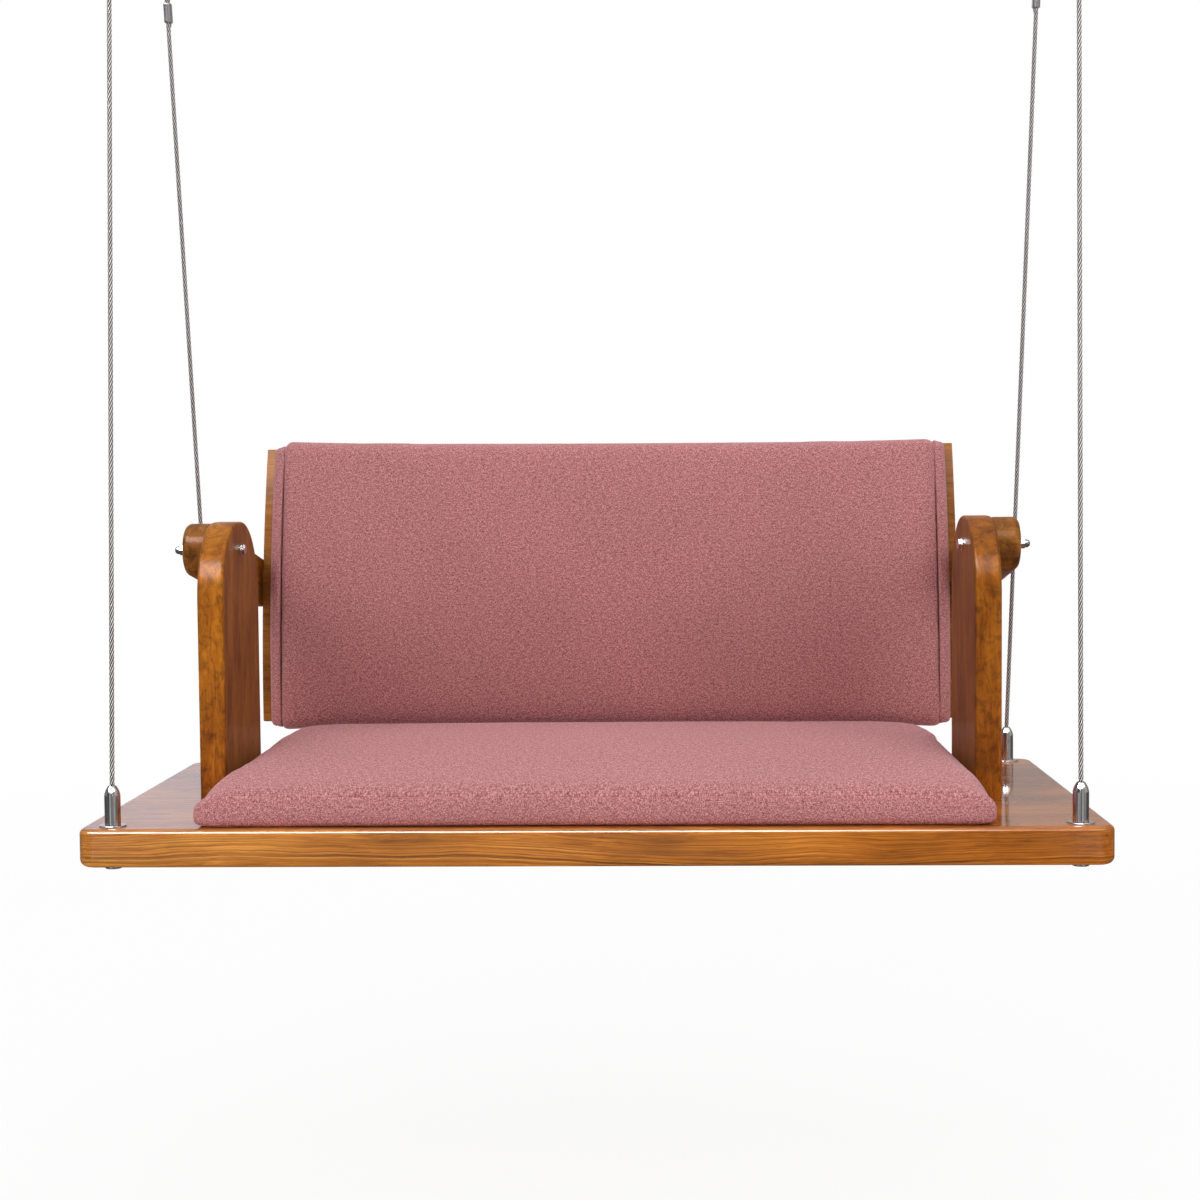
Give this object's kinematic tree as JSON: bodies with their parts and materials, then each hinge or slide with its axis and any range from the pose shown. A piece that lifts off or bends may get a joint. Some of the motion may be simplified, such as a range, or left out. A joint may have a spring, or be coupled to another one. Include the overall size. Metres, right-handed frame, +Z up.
{
  "type": "bench swing",
  "caption": "Ceiling-hung wooden bench swing on steel wire ropes, with end posts, a padded backrest that flips over on pivoting arms, and a seat cushion.",
  "frame": {"origin": "middle of the four ceiling studs, on the underside of the ceiling", "axes": "+Z up into the ceiling, +X to the sitter's left as seen from the front of the swing (the picture's right), +Y towards the back"},
  "size_m": [1.2686, 0.7314, 1.2652],
  "materials": {
    "lacquered_wood": "teak under clear gloss lacquer",
    "dowel_wood": "bare beech",
    "upholstery": "heathered dusty-rose weave",
    "wire_rope": "stranded stainless wire",
    "rope_ends": "stainless, pressed",
    "polished_steel": "polished stainless",
    "plated_steel": "zinc plated",
    "hanger_steel": "brushed stainless",
    "bush_plastic": "moulded nylon"
  },
  "bodies": {
    "ceiling": {"ceiling_plate_front_left": "hanger_steel", "ceiling_plate_front_right": "hanger_steel", "ceiling_plate_rear_left": "hanger_steel", "ceiling_plate_rear_right": "hanger_steel", "hanger_lugs_front_left": "hanger_steel", "hanger_lugs_front_right": "hanger_steel", "hanger_lugs_rear_left": "hanger_steel", "hanger_lugs_rear_right": "hanger_steel", "hanger_nuts": "hanger_steel", "hanger_pins": "hanger_steel"},
    "front_ropes": {"rope_front_left": "wire_rope", "rope_front_right": "wire_rope", "sleeve_front_left": "rope_ends", "sleeve_front_right": "rope_ends", "thimble_front_left": "rope_ends", "thimble_front_right": "rope_ends"},
    "seat": {"dome_nuts": "polished_steel", "fitting_flanges": "polished_steel", "fitting_nuts": "polished_steel", "fitting_rods": "polished_steel", "grub_screws": "polished_steel", "pivot_bolt_left": "polished_steel", "pivot_bolt_right": "polished_steel", "pivot_spacers": "polished_steel", "pivot_washers": "polished_steel", "post_dowels": "dowel_wood", "post_left": "lacquered_wood", "post_right": "lacquered_wood", "post_screws": "plated_steel", "rope_fitting_front_left": "polished_steel", "rope_fitting_front_right": "polished_steel", "rope_fitting_rear_left": "polished_steel", "rope_fitting_rear_right": "polished_steel", "seat_board": "lacquered_wood", "seat_cushion": "upholstery"},
    "rear_ropes": {"rope_rear_left": "wire_rope", "rope_rear_right": "wire_rope", "sleeve_rear_left": "rope_ends", "sleeve_rear_right": "rope_ends", "thimble_rear_left": "rope_ends", "thimble_rear_right": "rope_ends"},
    "backrest": {"arm_bushes": "bush_plastic", "arm_dowels": "dowel_wood", "arm_left": "lacquered_wood", "arm_right": "lacquered_wood", "backrest_pad": "upholstery", "backrest_panel": "lacquered_wood"}
  },
  "joints": [
    {"name": "swing", "type": "hinge", "parent": "ceiling", "child": "front_ropes", "pos_m": [0, -0.1416, -0.04], "axis": [1, 0, 0], "range_deg": [-15, 15]},
    {"name": "seat_level", "type": "hinge", "parent": "front_ropes", "child": "seat", "pos_m": [0, -0.31997, -1.1315], "axis": [1, 0, 0], "range_deg": [-7.7, 7.7]},
    {"name": "rear_rope_swing", "type": "hinge", "parent": "seat", "child": "rear_ropes", "pos_m": [0, 0.23203, -1.1315], "axis": [1, 0, 0], "range_deg": [-7.7, 7.7]},
    {"name": "backrest_flip", "type": "hinge", "parent": "seat", "child": "backrest", "pos_m": [0, -0.02197, -0.861], "axis": [1, 0, 0], "range_deg": [0, 200]}
  ],
  "couplings": [
    {"joint": "seat_level", "follows": "swing", "ratio": -0.51305},
    {"joint": "rear_rope_swing", "follows": "swing", "ratio": 0.51305}
  ]
}
